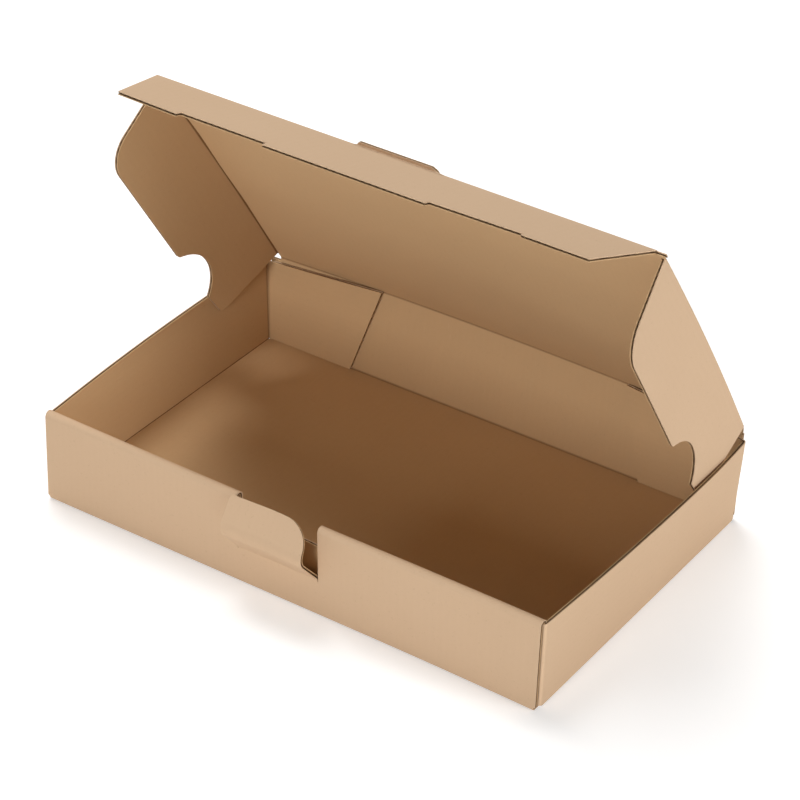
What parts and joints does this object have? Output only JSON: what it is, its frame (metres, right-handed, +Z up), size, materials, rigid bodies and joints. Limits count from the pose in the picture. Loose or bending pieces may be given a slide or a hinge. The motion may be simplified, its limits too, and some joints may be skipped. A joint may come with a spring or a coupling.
{
  "type": "letter mailer box",
  "caption": "Shallow one-piece corrugated mailer box, hinged lid half open with tuck flap and side wings, rolled front wall with a lock tongue.",
  "frame": {"origin": "middle of the tray's underside, on the surface that it rests on", "axes": "+X along the long side, -Y the front with the lock tongue, +Z up; the lid hinges along X at the back"},
  "size_m": [0.2475, 0.1739, 0.1788],
  "materials": {
    "kraft_board": "plain brown kraft liner, matt"
  },
  "bodies": {
    "tray": {"tray": "kraft_board"},
    "lid": {"lid": "kraft_board"},
    "tuck_flap": {"tuck_flap": "kraft_board"},
    "wing_left": {"wing_left": "kraft_board"},
    "wing_right": {"wing_right": "kraft_board"},
    "lock_tongue": {"lock_tongue": "kraft_board"}
  },
  "joints": [
    {"name": "lid_hinge", "type": "hinge", "parent": "tray", "child": "lid", "pos_m": [0, 0.07925, 0.045], "axis": [-1, 0, 0], "range_deg": [-55, 40]},
    {"name": "tuck_flap_fold", "type": "hinge", "parent": "lid", "child": "tuck_flap", "pos_m": [0, -0.00679, 0.16787], "axis": [1, 0, 0], "range_deg": [-52.4, 72]},
    {"name": "wing_left_fold", "type": "hinge", "parent": "lid", "child": "wing_left", "pos_m": [-0.11675, 0.07925, 0.045], "axis": [0, 0.5736, -0.8192], "range_deg": [-5.5, 4]},
    {"name": "wing_right_fold", "type": "hinge", "parent": "lid", "child": "wing_right", "pos_m": [0.11675, 0.07925, 0.045], "axis": [0, -0.5736, 0.8192], "range_deg": [-3.5, 2.55]},
    {"name": "tongue_hinge", "type": "hinge", "parent": "tray", "child": "lock_tongue", "pos_m": [-0.0015, -0.07925, 0.017], "axis": [1, 0, 0], "range_deg": [-25, 45]}
  ],
  "couplings": [
    {"joint": "tuck_flap_fold", "follows": "lid_hinge", "ratio": -1.3091},
    {"joint": "wing_left_fold", "follows": "lid_hinge", "ratio": 0.1},
    {"joint": "wing_right_fold", "follows": "lid_hinge", "ratio": 0.063636}
  ]
}
